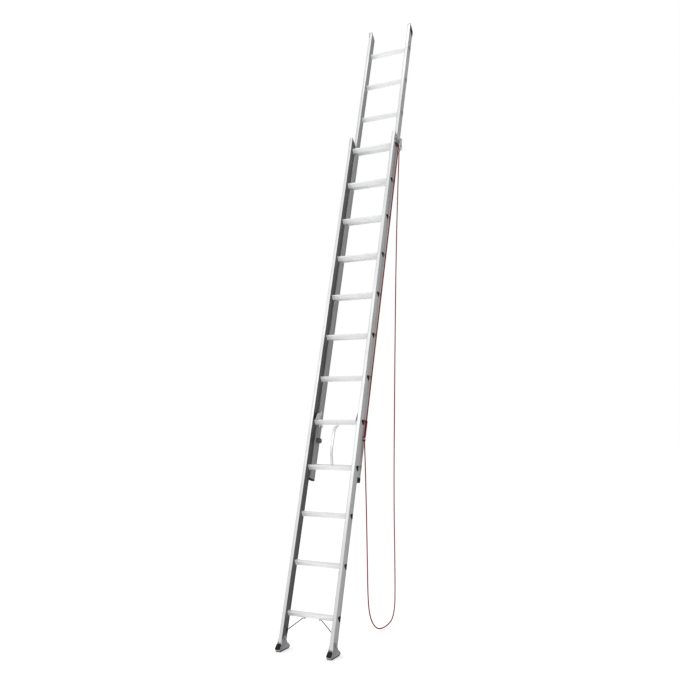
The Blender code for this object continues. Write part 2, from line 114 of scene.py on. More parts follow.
# %% [markdown]
# ## Sums with shader sockets
# Patterns on metal and rope are worked out by Math nodes. Wrapping a socket in a small class lets a
# pattern be written as a plain sum, and one method makes every other kind of node.

# %% Shader helpers


class Wire:
    """A shader socket that can be used in sums."""

    def __init__(self, finish, socket):
        self.finish, self.socket = finish, socket

    def sum(self, operation, *values):
        return self.finish.node("ShaderNodeMath", {"operation": operation}, *values)

    def __add__(self, other):
        return self.sum("ADD", self, other)

    def __sub__(self, other):
        return self.sum("SUBTRACT", self, other)

    def __rsub__(self, other):
        return self.sum("SUBTRACT", other, self)

    def __mul__(self, other):
        return self.sum("MULTIPLY", self, other)

    def __truediv__(self, other):
        return self.sum("DIVIDE", self, other)

    __radd__, __rmul__ = __add__, __mul__

    def above(self, edge, width):
        """0 below the edge and 1 above it, over a soft width."""
        return self.finish.node("ShaderNodeMapRange", {"interpolation_type": "SMOOTHSTEP"}, self,
                                edge - width / 2, edge + width / 2, 0.0, 1.0)


class Finish:
    """A material with one Principled shader."""

    def __init__(self, name, **fixed):
        self.material = bpy.data.materials.new(name)
        self.material.use_nodes = True
        self.tree = self.material.node_tree
        self.shader = self.tree.nodes["Principled BSDF"]
        for socket, value in fixed.items():
            self.shader.inputs[socket.replace("_", " ")].default_value = value

    def node(self, kind, settings, *values, out=0, **named):
        made = self.tree.nodes.new(kind)
        for key, value in settings.items():
            setattr(made, key, value)
        sockets = {socket.identifier: socket for socket in made.inputs}
        for key, value in [*enumerate(values), *named.items()]:
            socket = made.inputs[key] if isinstance(key, int) else sockets[key]
            if isinstance(value, Wire):
                self.tree.links.new(value.socket, socket)
            elif value is not None:
                socket.default_value = value
        return Wire(self, made.outputs[out])

    def place(self, turn=0.0, scale=(1, 1, 1)):
        """Object coordinates, turned about x and then stretched."""
        point = self.node("ShaderNodeTexCoord", {}, out=3)
        if turn:
            point = self.node("ShaderNodeMapping", {}, point, None, (turn, 0, 0))
        return self.node("ShaderNodeMapping", {}, point, None, None, scale)

    def noise(self, where, scale, detail=3.0, rough=0.55):
        return self.node("ShaderNodeTexNoise", {}, Vector=where, Scale=scale, Detail=detail,
                         Roughness=rough)

    def blend(self, share, first, second):
        """A colour between two colours."""
        return self.node("ShaderNodeMix", {"data_type": "RGBA"}, Factor_Float=share,
                         A_Color=first if isinstance(first, Wire) else (*first, 1),
                         B_Color=second if isinstance(second, Wire) else (*second, 1), out=2)

    def feed(self, **wires):
        for socket, wire in wires.items():
            self.tree.links.new(wire.socket, self.shader.inputs[socket.replace("_", " ")])

    def relief(self, height, distance, strength=1.0):
        bump = self.node("ShaderNodeBump", {}, Strength=strength, Distance=distance, Height=height)
        self.feed(Normal=bump)


# %% [markdown]
# ## Aluminium
# Rails and rungs are extruded, so the die leaves fine lines along their length, and handling leaves dull smears
# and small scratches. The lines are noise squeezed hard in two directions: on a rail they follow the slope, and on
# a rung they run across. Roughness varies with them, which is what the eye reads. The rails' side walls that face
# each other are painted darker, as painted shade.

# %% Extruded and cast metals
LEAN_TURN = math.atan2(UP.y, UP.z)      # turns the slope upright for a pattern
INNER_X = 0.1834                        # the base rails' inner walls stand at 182 to 183 mm from the middle


def extruded(name, turn, stretch, tone, dull, inner=None, inner_x=INNER_X, metal=1.0):
    """Aluminium with die lines; stretch is small along the lines.

    inner is painted shade: a darker colour on the side walls that face each other, in place of the shade that
    falls between the rails.
    """
    finish = Finish(name, Metallic=metal)
    along = finish.place(turn, stretch)
    lines = finish.noise(along, 260.0, 4.0, 0.6)
    smears = finish.noise(finish.place(turn, (3.0, 3.0, 1.1)), 2.6, 4.0, 0.6)
    fine = finish.noise(finish.place(turn, (1, 1, 0.35)), 420.0, 2.0)
    worn = smears.above(0.55, 0.25)
    light = tuple(min(1.0, value * 1.07) for value in tone)
    dark = tuple(value * 0.86 for value in tone)
    colour = finish.blend(lines.above(0.5, 0.5), dark, light)
    colour = finish.blend(worn * 0.35, colour, tuple(value * 0.9 for value in tone))
    if inner:
        # Painted shade: walls nearer the middle than inner_x take the darker inner colour, with the die lines
        # still drawn on it.
        x = finish.node("ShaderNodeSeparateXYZ", {}, finish.place())
        painted_shade_mask = 1 - finish.node("ShaderNodeMath", {"operation": "ABSOLUTE"}, x).above(inner_x, 0.0004)
        painted_shade_streaks = finish.blend(lines.above(0.5, 0.5), tuple(value * 0.8 for value in inner), inner)
        colour = finish.blend(painted_shade_mask, colour, painted_shade_streaks)
    finish.feed(Base_Color=colour,
                Roughness=dull + (lines - 0.5) * 0.16 + worn * 0.10 + (fine - 0.5) * 0.10)
    finish.relief(lines * 0.7 + fine * 0.3, 0.00022, 0.55)
    return finish.material


# The inner colours are painted shade on the walls that face each other: very dark on the base rails, lighter on
# the fly rails.
rail_metal = extruded("rail_aluminium", LEAN_TURN, (1, 1, 0.012), (0.80, 0.805, 0.81), 0.36,
                      inner=(0.20, 0.20, 0.205))
fly_metal = extruded("fly_rail_aluminium", LEAN_TURN, (1, 1, 0.012), (0.74, 0.745, 0.75), 0.40,
                     inner=(0.56, 0.565, 0.58), inner_x=0.1734)
rung_metal = extruded("rung_aluminium", 0.0, (0.012, 1, 1), (0.93, 0.935, 0.94), 0.46, metal=0.35)
swage_metal = extruded("swaged_aluminium", 0.0, (1, 1, 1), (0.50, 0.505, 0.51), 0.45)
strap_metal = extruded("handle_aluminium", LEAN_TURN, (1, 1, 0.02), (0.84, 0.845, 0.85), 0.30)


def grained(name, tone, metal, dull, grain, depth, **fixed):
    """A cast, plated or moulded surface: grain, faint cloudiness and duller patches."""
    finish = Finish(name, Metallic=metal, **fixed)
    where = finish.place()
    clouds = finish.noise(where, 24.0, 4.0)
    grit = finish.noise(where, grain, 3.0, 0.6)
    dust = clouds.above(0.58, 0.3)
    pale = tuple(value * 0.86 + 0.018 for value in tone)
    colour = finish.blend(grit.above(0.5, 0.6), tuple(value * 0.82 for value in tone), tone)
    finish.feed(Base_Color=finish.blend(dust * 0.45, colour, pale),
                Roughness=dull + (clouds - 0.5) * 0.2 + (grit - 0.5) * 0.12)
    finish.relief(grit + clouds * 0.4, depth, 0.6)
    return finish.material


zinc = grained("zinc_steel", (0.60, 0.62, 0.64), 1.0, 0.30, 300.0, 0.00012)
# Painted shade: the two lock hooks are one part, but the right one gets this dark bluish tone in place of the
# shade on that side.
hook_painted_shade_steel = grained("blued_steel", (0.20, 0.23, 0.30), 1.0, 0.34, 320.0, 0.00012)
casting = grained("cast_aluminium", (0.58, 0.56, 0.60), 1.0, 0.50, 520.0, 0.0005)
# Painted light: the left lock hook gets this pale, half-metal zinc so that it reads lit.
bright_zinc = grained("bright_zinc", (0.86, 0.87, 0.89), 0.4, 0.36, 300.0, 0.00012)
grey_plastic = grained("grey_plastic", (0.085, 0.090, 0.095), 0.0, 0.5, 700.0, 0.0002)
teal_steel = grained("passivated_steel", (0.09, 0.11, 0.11), 0.8, 0.42, 300.0, 0.00012)
pale_nylon = grained("pale_nylon", (0.80, 0.79, 0.76), 0.0, 0.42, 600.0, 0.0001)
black_plastic = grained("black_plastic", (0.008, 0.008, 0.009), 0.0, 0.60, 700.0, 0.0002,
                        Specular_IOR_Level=0.2)
cream_plastic = grained("cream_plastic", (0.62, 0.55, 0.40), 0.0, 0.5, 500.0, 0.0002)
rubber = grained("black_rubber", (0.016, 0.016, 0.014), 0.0, 0.78, 900.0, 0.0003, Specular_IOR_Level=0.2)

# %% [markdown]
# ## Red rope
# A plaited rope is two sets of strands that wind round it in opposite directions. Its UV map gives the distance
# along the rope and the turn around it, so two slanted waves multiplied together draw the plait: the product is
# high where a strand is on top and low in the seams between. The seams are painted darker, as painted shade
# between the strands.

# %% Rope finish
STRANDS, PLAIT = 6.0, 0.0105            # strands each way, and the length of one plait


def plaited(name, tone):
    finish = Finish(name, Metallic=0.0, Specular_IOR_Level=0.2)
    uv = finish.node("ShaderNodeUVMap", {"uv_map": "along_rope"})
    parts = finish.node("ShaderNodeSeparateXYZ", {}, uv)
    round_it = Wire(finish, parts.socket.node.outputs[1])
    right = finish.node("ShaderNodeMath", {"operation": "SINE"},
                        (parts / PLAIT + round_it * STRANDS) * math.tau)
    left = finish.node("ShaderNodeMath", {"operation": "SINE"},
                       (parts / PLAIT - round_it * STRANDS) * math.tau)
    plait = right * left * 0.5 + 0.5
    fuzz = finish.noise(finish.place(), 900.0, 3.0)
    # Painted shade: the seams between strands are darkened to 42 % of the rope's tone.
    colour = finish.blend(plait.above(0.35, 0.7), tuple(value * 0.42 for value in tone), tone)
    finish.feed(Base_Color=finish.blend(fuzz.above(0.68, 0.2) * 0.3, colour, (0.46, 0.03, 0.03)),
                Roughness=0.78 - plait * 0.12)
    finish.relief(plait + fuzz * 0.25, 0.0007, 0.8)
    return finish.material


rope_red = plaited("red_rope", (0.34, 0.008, 0.014))
knot_red = grained("knotted_rope", (0.30, 0.008, 0.012), 0.0, 0.8, 900.0, 0.0005, Specular_IOR_Level=0.2)

# %% [markdown]
# ## The rope
# The hoist rope starts at an eye on the fly's right rail, runs up beside the rail, over the wheel at the
# base's top, down the back in a long free loop that almost touches the floor, and up to the eye again.
# It is one rope, made here as three tubes, and the one that hangs from the wheel goes with the base section. Each
# tube is a ring of points carried along a smooth route, which also gives its UV map.

# %% Rope helpers
ROPE_R, WHEEL_R, WRAP_STEP, FIT = 0.0045, 0.0285, 15, 0.0003
EYE_HALF, EYE_REACH = 0.0015, 0.010     # half the eye's thickness, and where the rope meets it
WHEEL = Vector(joints["pulley_spin"]["pos_m"])
eye_low_corner, eye_high_corner = span("rope_eye")
EYE_X, EYE_D = eye_low_corner[0] + EYE_REACH, 0.104
EYE_S = (eye_low_corner[2] + eye_high_corner[2]) / 2


def smooth_route(points, count):
    """Evenly spaced points on a smooth curve through the given ones."""
    ends = [points[0] * 2 - points[1]] + points + [points[-1] * 2 - points[-2]]
    fine = []
    for i in range(1, len(ends) - 2):
        p0, p1, p2, p3 = ends[i - 1:i + 3]
        for k in range(24):
            t = k / 24
            fine.append(0.5 * (2 * p1 + (p2 - p0) * t + (2 * p0 - 5 * p1 + 4 * p2 - p3) * t * t
                               + (3 * p1 - p0 - 3 * p2 + p3) * t ** 3))
    fine.append(points[-1])
    reached = [0.0]
    for a, b in zip(fine, fine[1:]):
        reached.append(reached[-1] + (b - a).length)
    out, j = [], 0
    for i in range(count):
        want = reached[-1] * i / (count - 1)
        while j < len(reached) - 2 and reached[j + 1] < want:
            j += 1
        step = reached[j + 1] - reached[j]
        out.append(fine[j].lerp(fine[j + 1], (want - reached[j]) / step if step else 0))
    return out


def on_wheel(degrees):
    """A point of the rope's middle on the wheel, turned back from its front side."""
    turn = math.radians(180 - degrees)
    return WHEEL + (BACK * math.cos(turn) + UP * math.sin(turn)) * WHEEL_R


def route_length(points):
    return sum((b - a).length for a, b in zip(points, points[1:]))


def new_piece(name, bm, finish, smooth=40.0):
    """An object from bmesh geometry whose points are already in their place."""
    mesh = bpy.data.meshes.new(name)
    bm.to_mesh(mesh)
    bm.free()
    mesh.materials.append(finish)
    mesh.shade_smooth()
    mesh.set_sharp_from_angle(angle=math.radians(smooth))
    piece = bpy.data.objects.new(name, mesh)
    bpy.context.scene.collection.objects.link(piece)
    return piece


def tube(name, points, radius, finish, sides=12):
    """A round tube along the points, with its length and its turn in a UV map."""
    bm = bmesh.new()
    uv = bm.loops.layers.uv.new("along_rope")
    ways = [(points[min(i + 1, len(points) - 1)] - points[max(i - 1, 0)]).normalized()
            for i in range(len(points))]
    side = ways[0].orthogonal().normalized()
    rings, reached, length = [], [0.0], 0.0
    for i, (point, way) in enumerate(zip(points, ways)):
        if i:
            side = (side - way * side.dot(way)).normalized()
            length += (point - points[i - 1]).length
            reached.append(length)
        other = way.cross(side)
        rings.append([bm.verts.new(point + (side * math.cos(math.tau * k / sides)
                                            + other * math.sin(math.tau * k / sides)) * radius)
                      for k in range(sides)])
    for i, (a, b) in enumerate(zip(rings, rings[1:])):
        for k in range(sides):
            j = (k + 1) % sides
            face = bm.faces.new((a[k], a[j], b[j], b[k]))
            shares = ((i, k), (i, k + 1), (i + 1, k + 1), (i + 1, k))
            for loop, (row, turn) in zip(face.loops, shares):
                loop[uv].uv = (reached[row], turn / sides)
    bm.faces.new(rings[0][::-1])
    bm.faces.new(rings[-1])
    return new_piece(name, bm, finish, 60.0)


# %% [markdown]
# ## The rope's route
# The free loop's points are given one by one. Each is a share of the way from the eye to the wheel in x and y, and
# of the wheel's height on the way down or the eye's on the way up. The stretch on the wheel is an arc, and the one
# from the eye to the wheel is straight, because it is the one that carries the fly.

# %% Rope
FALLING = ((0.971, 0.9353, 0.9884), (0.922, 0.9257, 0.9687), (0.864, 0.9052, 0.9295),
           (0.748, 0.8588, 0.8229), (0.699, 0.8219, 0.7132), (0.650, 0.7959, 0.6058),
           (0.602, 0.7741, 0.5009), (0.573, 0.7549, 0.3969), (0.553, 0.7372, 0.2948),
           (0.553, 0.7344, 0.2095), (0.553, 0.7426, 0.1309))
RISING = ((0.553, 0.7440, 0.1813), (0.553, 0.7303, 0.0943), (0.553, 0.6811, 0.0421),
          (0.553, 0.5937, 0.0174), (0.553, 0.4256, 0.0116), (0.553, 0.2794, 0.0261),
          (0.553, 0.1591, 0.0689), (0.505, 0.0881, 0.1305), (0.456, 0.0594, 0.2176),
          (0.359, 0.0498, 0.3771), (0.262, 0.0389, 0.5657), (0.165, 0.0280, 0.7252),
          (0.068, 0.0157, 0.8703))
RUN_POINTS, LOOP_POINTS = 60, 420
ON_WHEEL, WHEEL_POINTS = 5, 43           # degrees between points on the wheel, and how many there are
SPLIT = 17                               # the point on the wheel where one tube ends and the next starts
wheel_back = WHEEL + BACK * (WHEEL_R / math.cos(math.radians(WRAP_STEP / 2)))
eye_top = at(EYE_X, EYE_D, EYE_S + EYE_HALF + ROPE_R + FIT)
eye_under = at(EYE_X, EYE_D, EYE_S - EYE_HALF - ROPE_R - FIT)
free = [Vector((eye_under.x + u * (WHEEL.x - eye_under.x),
                eye_under.y + v * (wheel_back.y - eye_under.y), w * high))
        for group, high in ((FALLING, wheel_back.z), (RISING, eye_under.z)) for u, v, w in group]
wrap = [on_wheel(ON_WHEEL * (i + 1)) for i in range(WHEEL_POINTS)]
straight = [eye_top.lerp(on_wheel(2), i / RUN_POINTS) for i in range(RUN_POINTS)]
loop = smooth_route([wrap[-1]] + free + [eye_under], LOOP_POINTS)
lowest = min(range(len(loop)), key=lambda i: loop[i].z)
routes = {"rope_running": straight + wrap[:SPLIT + 1],
          "rope_hanging": wrap[SPLIT:] + loop[1:lowest + 1],
          "rope_tail": loop[lowest:]}
ropes = {}
for name, points in routes.items():
    ropes[name] = tube(name + "_plaited", points, ROPE_R, rope_red)
    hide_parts(name)
    print(name, "length", round(route_length(points), 3))
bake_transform(ropes["rope_running"])
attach(ropes["rope_hanging"], "base")
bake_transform(ropes["rope_tail"])

# %% [markdown]
# ## A tree that winds a coil
# A knot's turns and a spring's are the same thing in different wire. One Geometry Nodes tree makes both:
# a spiral with a round wire carried along it, moved to its place and made real. The small helpers here
# build any such tree, run it on a piece and keep the result as a plain mesh.

# %% Coil tree


def wire_up(tree, kind, links=(), **settings):
    """Adds a node to a tree and links (socket name, from node, from socket) into it."""
    made = tree.nodes.new(kind)
    for key, value in settings.items():
        setattr(made, key, value)
    for name, source, output in links:
        tree.links.new(source.outputs[output], made.inputs[name])
    return made


def new_tree(name, output, **sockets):
    tree = bpy.data.node_groups.new(name, "GeometryNodeTree")
    for socket, kind in sockets.items():
        tree.interface.new_socket(name=socket.replace("_", " "), in_out="INPUT",
                                  socket_type="NodeSocket" + kind)
    tree.interface.new_socket(name=output, in_out="OUTPUT", socket_type="NodeSocketGeometry")
    return tree, wire_up(tree, "NodeGroupInput")


def end_tree(tree, group_in, geometry, output):
    """Makes the geometry real and gives it its material."""
    real = wire_up(tree, "GeometryNodeRealizeInstances", [("Geometry", geometry, 0)])
    painted = wire_up(tree, "GeometryNodeSetMaterial",
                      [("Geometry", real, 0), ("Material", group_in, "Finish")])
    wire_up(tree, "NodeGroupOutput", [(output, painted, 0)])


def settle(piece, node_tree, smooth, **values):
    """Runs a tree on the piece and keeps the result as its plain mesh."""
    build = piece.modifiers.new("build", "NODES")
    build.node_group = node_tree
    for item in node_tree.interface.items_tree:
        if item.in_out == "INPUT" and item.name.replace(" ", "_") in values:
            build[item.identifier] = values[item.name.replace(" ", "_")]
    bpy.context.view_layer.update()
    graph = bpy.context.evaluated_depsgraph_get()
    mesh = bpy.data.meshes.new_from_object(piece.evaluated_get(graph))
    piece.modifiers.remove(build)
    piece.data = mesh
    mesh.shade_smooth()
    mesh.set_sharp_from_angle(angle=math.radians(smooth))
    return piece


coil_tree, group_in = new_tree("coil", "Coil", Start="Geometry", Turns="Float", Coil_Radius="Float",
                               Wire_Radius="Float", Height="Float", Base="Vector", Tilt="Vector",
                               Finish="Material")
spiral = wire_up(coil_tree, "GeometryNodeCurveSpiral",
                 [("Rotations", group_in, "Turns"), ("Start Radius", group_in, "Coil Radius"),
                  ("End Radius", group_in, "Coil Radius"), ("Height", group_in, "Height")])
spiral.inputs["Resolution"].default_value = 20
wire_ring = wire_up(coil_tree, "GeometryNodeCurvePrimitiveCircle", [("Radius", group_in, "Wire Radius")])
wire_ring.inputs["Resolution"].default_value = 8
wire = wire_up(coil_tree, "GeometryNodeCurveToMesh", [("Curve", spiral, 0), ("Profile Curve", wire_ring, 0)])
wire.inputs["Fill Caps"].default_value = True
moved = wire_up(coil_tree, "GeometryNodeTransform",
                [("Geometry", wire, 0), ("Translation", group_in, "Base"), ("Rotation", group_in, "Tilt")])
end_tree(coil_tree, group_in, moved, "Coil")

# %% [markdown]
# ## Knots at the eye
# Both ends of the rope are tied off at the eye. The running end is whipped round its own standing part
# for a hand's length, and the tail has two turns, which makes the rope thick on both sides of the eye.

# %% Knots
KNOT_COIL, KNOT_WIRE = 0.0052, 0.0041    # radius of the turns, and of the rope pulled tight in them
KNOT_LIFT = 0.4 * ROPE_R
knots = {}
for name, end, way, turns, high in (("rope_running", eye_top, UP, 13.0, 0.125),
                                    ("rope_tail", eye_under, -UP, 2.0, 0.018)):
    first = end + way * KNOT_LIFT
    knots[name] = new_piece(name + "_knot", bmesh.new(), knot_red)
    turn = way.to_track_quat("Z", "Y").to_euler()
    settle(knots[name], coil_tree, 60.0, Turns=turns, Coil_Radius=KNOT_COIL, Wire_Radius=KNOT_WIRE,
           Height=high, Base=tuple(first), Tilt=tuple(turn), Finish=knot_red)
    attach(knots[name], "fly")
print("knots", [len(knot.data.polygons) for knot in knots.values()])

# %% [markdown]
# ## Rails
# A rail is one long extrusion: a box section with rounded corners, two lips along each side wall and a
# slightly sunk web between them. The section never changes, so the rail is two rings of points, one at
# each end, joined by strips. The top ring is slanted, as the saw leaves it.

# %% Rails
WALL, SLANT = 0.0018, 0.042


def rounded(corners, radius, steps=3):
    """A closed outline with its corners rounded; radius is one number or one for each corner."""
    out, n = [], len(corners)
    for i, corner in enumerate(corners):
        size = radius if isinstance(radius, float) else radius[i]
        before, here, after = (Vector(corners[i - 1]), Vector(corner), Vector(corners[(i + 1) % n]))
        first, last = (before - here).normalized(), (after - here).normalized()
        for k in range(steps + 1):
            t = k / steps
            a, b = here + first * size, here + last * size
            out.append(tuple(a * (1 - t) ** 2 + here * 2 * t * (1 - t) + b * t ** 2))
    return out


def rail_section(low, high):
    """Outer outline of a rail in (x, d): lips at the front and back, sunk side walls between them."""
    (x0, d0), (x1, d1) = low, high
    lip, sunk, bead = 0.011, 0.0009, 0.0016
    middle = (d0 + d1) / 2
    corners = [(x0, d0), (x1, d0), (x1, d0 + lip), (x1 - sunk, d0 + lip + 0.0008)]
    for edge in (middle - 0.010, middle + 0.010):
        corners += [(x1 - sunk, edge - bead), (x1 - sunk + 0.0005, edge - bead / 2),
                    (x1 - sunk + 0.0005, edge + bead / 2), (x1 - sunk, edge + bead)]
    corners += [(x1 - sunk, d1 - lip - 0.0008), (x1, d1 - lip), (x1, d1), (x0, d1),
                (x0, d1 - lip), (x0 + sunk, d1 - lip - 0.0008), (x0 + sunk, d0 + lip + 0.0008),
                (x0, d0 + lip)]
    sizes = [0.0016 if i in (0, 1, 13, 14) else 0.0003 for i in range(len(corners))]
    return rounded(corners, sizes, 2)


def make_rail(node):
    low, high = span(node)
    outer = rail_section(low[:2], high[:2])
    middle = ((low[0] + high[0]) / 2, (low[1] + high[1]) / 2)
    reach = ((high[0] - low[0]) / 2 - WALL - 0.0005, (high[1] - low[1]) / 2 - WALL)
    inner = [tuple(max(m - r, min(m + r, value)) for value, m, r in zip(point, middle, reach))
             for point in outer]

    def top(d):
        return high[2] - SLANT * (d - low[1]) / (high[1] - low[1])

    bm = bmesh.new()
    rings = [[bm.verts.new(at(x, d, top(d) if upper else low[2])) for x, d in outline]
             for outline, upper in ((outer, 0), (outer, 1), (inner, 1), (inner, 0))]
    for a, b in zip(rings, rings[1:] + rings[:1]):
        for i in range(len(a)):
            j = (i + 1) % len(a)
            bm.faces.new((a[i], a[j], b[j], b[i]))
    bmesh.ops.remove_doubles(bm, verts=bm.verts, dist=1e-6)
    bmesh.ops.recalc_face_normals(bm, faces=bm.faces)
    rail = new_piece(node + "_extrusion", bm, rail_metal if "base" in node else fly_metal, 35.0)
    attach(rail, body_of_node[node])
    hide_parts(node)


for section in ("base", "fly"):
    for side in ("left", "right"):
        make_rail(f"{section}_rail_{side}")
print("rails", base_high[2] - base_low[2], fly_high[2] - fly_low[2])

# %% [markdown]
# ## A tree that repeats a piece along a row
# Twelve rungs stand at one spacing, and so do their end plugs and collars. One Geometry Nodes tree makes
# any such row: it takes a single piece, a count and a step, sets copies out on a line of points and makes
# them real. The result is kept as a plain mesh.

# %% Row tree
row_tree, group_in = new_tree("row_of_pieces", "Row", Piece="Geometry", Count="Int", Step="Vector",
                              Finish="Material")
line = wire_up(row_tree, "GeometryNodeMeshLine",
               [("Count", group_in, "Count"), ("Offset", group_in, "Step")], mode="OFFSET")
copies = wire_up(row_tree, "GeometryNodeInstanceOnPoints",
                 [("Points", line, 0), ("Instance", group_in, "Piece")])
end_tree(row_tree, group_in, copies, "Row")

# %% [markdown]
# ## Rungs
# A rung is a tube with a flat grooved tread on top and a narrower rounded belly. Each end is swaged
# against the rail: a collar sits on the rail's inner face, and a black plug closes the tube outside.
# The outline is drawn once, with the grooves cut into the tread, and the row tree does the rest.

# %% Rungs, collars and plugs
RUNGS, PITCH = 12, 0.340
TREAD = ((0.002, 0), (0.032, 0), (0.034, -0.002), (0.034, -0.008), (0.0270, -0.0345),
         (0.0245, -0.0370), (0.0195, -0.0370), (0.0165, -0.0345), (0, -0.009), (0, -0.002))


def grown(outline, by):
    """The outline moved outwards all round."""
    out, n = [], len(outline)
    for i in range(n):
        p, q, r = (Vector(outline[i - 1]), Vector(outline[i]), Vector(outline[(i + 1) % n]))
        normals = [Vector((-(b - a).y, (b - a).x)).normalized() for a, b in ((p, q), (q, r))]
        way = (normals[0] + normals[1]).normalized()
        out.append(tuple(q + way * by / max(0.5, way.dot(normals[0]))))
    return out


def grooved():
    """The tread outline with seven grooves in its flat top."""
    outline = [(0.0, -0.0022), (0.0006, -0.0006), (0.002, 0.0)]
    for k in range(7):
        middle = 0.0050 + 0.0040 * k
        outline += [(middle - 0.0009, 0.0), (middle - 0.0005, -0.0008), (middle + 0.0005, -0.0008),
                    (middle + 0.0009, 0.0)]
    outline += [(0.032, 0.0), (0.0334, -0.0006), (0.034, -0.0022)]
    return outline + rounded(TREAD[3:9], [0.0008, 0.0014, 0.0014, 0.0014, 0.0014, 0.0008], 3)


def slab(bm, outlines, corner):
    """Skins outlines of (y, z), each with its x, level with the ground from the corner point."""
    rings = [[bm.verts.new(corner + Vector((x, y, z))) for y, z in outline] for x, outline in outlines]
    for a, b in zip(rings, rings[1:]):
        for i in range(len(a)):
            j = (i + 1) % len(a)
            bm.faces.new((a[i], a[j], b[j], b[i]))
    bm.faces.new(rings[0])
    bm.faces.new(rings[-1][::-1])


ring = rounded(TREAD, 0.0011, 3)
for section in ("base", "fly"):
    rail_in, rail_out = (span(f"{section}_rail_right")[end][0] for end in (0, 1))
    low_corner, high_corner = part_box(f"{section}_rung_01")
    corner = Vector((0, low_corner.y, high_corner.z))
    nodes = [f"{section}_rung_{i + 1:02d}" for i in range(RUNGS)]
    tube_bm, collar_bm, plug_bm = bmesh.new(), bmesh.new(), bmesh.new()
    plug_look = (black_plastic, "black_plastic") if section == "base" else (swage_metal, "rung_aluminium")
    slab(tube_bm, [(-rail_out, grooved()), (rail_out, grooved())], corner)
    for way in (-1, 1):
        slab(collar_bm, [(way * (rail_in - 0.0034), grown(ring, 0.0001)),
                         (way * (rail_in - 0.0030), grown(ring, 0.0014)),
                         (way * (rail_in - 0.0012), grown(ring, 0.0022)),
                         (way * (rail_in + 0.0003), grown(ring, 0.0022))], corner)
        slab(plug_bm, [(way * (rail_out - 0.0012), grown(ring, 0.0012)),
                       (way * (rail_out + 0.0004), grown(ring, 0.0012)),
                       (way * (rail_out + 0.0012), grown(ring, 0.0004)),
                       (way * (rail_out + 0.0015), grown(ring, -0.0020)),
                       (way * (rail_out + 0.0008), grown(ring, -0.0034)),
                       (way * (rail_out + 0.0008), grown(ring, -0.0060))], corner)
    for name, bm, finish, slot in (("rungs", tube_bm, rung_metal, "rung_aluminium"),
                                   ("rung_collars", collar_bm, rung_metal, "rung_aluminium"),
                                   ("rung_plugs", plug_bm, *plug_look)):
        bmesh.ops.recalc_face_normals(bm, faces=bm.faces)
        row = settle(new_piece(f"{section}_{name}", bm, finish), row_tree, 30.0, Count=RUNGS,
                     Step=tuple(UP * PITCH), Finish=finish)
        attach(row, section)
        if name == "rungs":
            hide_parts(*nodes)
    print(section, "rungs from", [round(v, 3) for v in corner])

# %% [markdown]
# ## Fittings from the frame
# Guides, locks, braces, caps and feet have the right shape in the CAD model, but sharp edges. Real ones
# are pressed, moulded or cast, so every edge has a small radius that catches the light. A copy of each
# CAD mesh is merged and bevelled, and takes a finish of its own.

# %% Softened fittings


def softened(node, finish, width, steps=2, angle=28.0):
    """A bevelled copy of a CAD node in place of it."""
    mesh = frame["nodes"][node].data.copy()
    mesh.materials.clear()
    bm = bmesh.new()
    bm.from_mesh(mesh)
    bmesh.ops.remove_doubles(bm, verts=bm.verts, dist=1e-5)
    bmesh.ops.dissolve_limit(bm, angle_limit=math.radians(1.0), verts=bm.verts, edges=bm.edges)
    bpy.data.meshes.remove(mesh)
    piece = new_piece(node + "_finished", bm, finish)
    bevel = piece.modifiers.new("edge", "BEVEL")
    bevel.width, bevel.segments, bevel.limit_method = width, steps, "ANGLE"
    bevel.angle_limit, bevel.use_clamp_overlap = math.radians(angle), True
    bpy.context.view_layer.update()
    graph = bpy.context.evaluated_depsgraph_get()
    done = bpy.data.meshes.new_from_object(piece.evaluated_get(graph))
    piece.modifiers.remove(bevel)
    piece.data = done
    done.shade_smooth()
    done.set_sharp_from_angle(angle=math.radians(38))
    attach(piece, body_of_node[node])
    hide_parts(node)
    return piece


for side in ("left", "right"):
    softened("base_guide_" + side, zinc, 0.0005, 2)
    softened("base_brace_" + side, teal_steel, 0.0006, 2)
    # The lock hooks are lit and shaded copies of one part: the right is painted dark and the left painted pale.
    softened("lock_hook_" + side, hook_painted_shade_steel if side == "right" else bright_zinc, 0.0010, 2)
    softened("lock_bracket_" + side, grey_plastic, 0.0010, 3)
    softened("fly_top_cap_" + side, black_plastic, 0.0009, 2)
    softened("fly_end_cap_" + side, black_plastic, 0.0012, 3)
    softened("foot_casting_" + side, casting, 0.0012, 3)
    softened("foot_pad_" + side, rubber, 0.0010, 3)
    softened("foot_toe_" + side, rubber, 0.0016, 3)
    softened("foot_pin_" + side, zinc, 0.0010, 3, 50.0)
    softened("lock_pin_" + side, zinc, 0.0008, 3, 50.0)


# %% [markdown]
# ## Rivets
# Two rivets hold each strut, each spring seat and the rope's eye, and four hold each guide. Every head is
# a low dome on the outer face of its rail or plate, given by its place in the ladder's measures.

# %% Rivets


def dome(bm, centre, way, radius, height, sides=14):
    """A low rivet head: rings of points that close over a small flat top."""
    side = way.orthogonal().normalized()
    other = way.cross(side)
    rings = []
    for lift, share in ((0.0, 1.0), (0.35, 0.94), (0.75, 0.70), (1.0, 0.34)):
        rings.append([bm.verts.new(centre + way * height * lift
                                   + (side * math.cos(math.tau * k / sides)
                                      + other * math.sin(math.tau * k / sides)) * radius * share)
                      for k in range(sides)])
    for a, b in zip(rings, rings[1:]):
        for k in range(sides):
            j = (k + 1) % sides
            bm.faces.new((a[k], a[j], b[j], b[k]))
    bm.faces.new(rings[0][::-1])
    bm.faces.new(rings[-1])


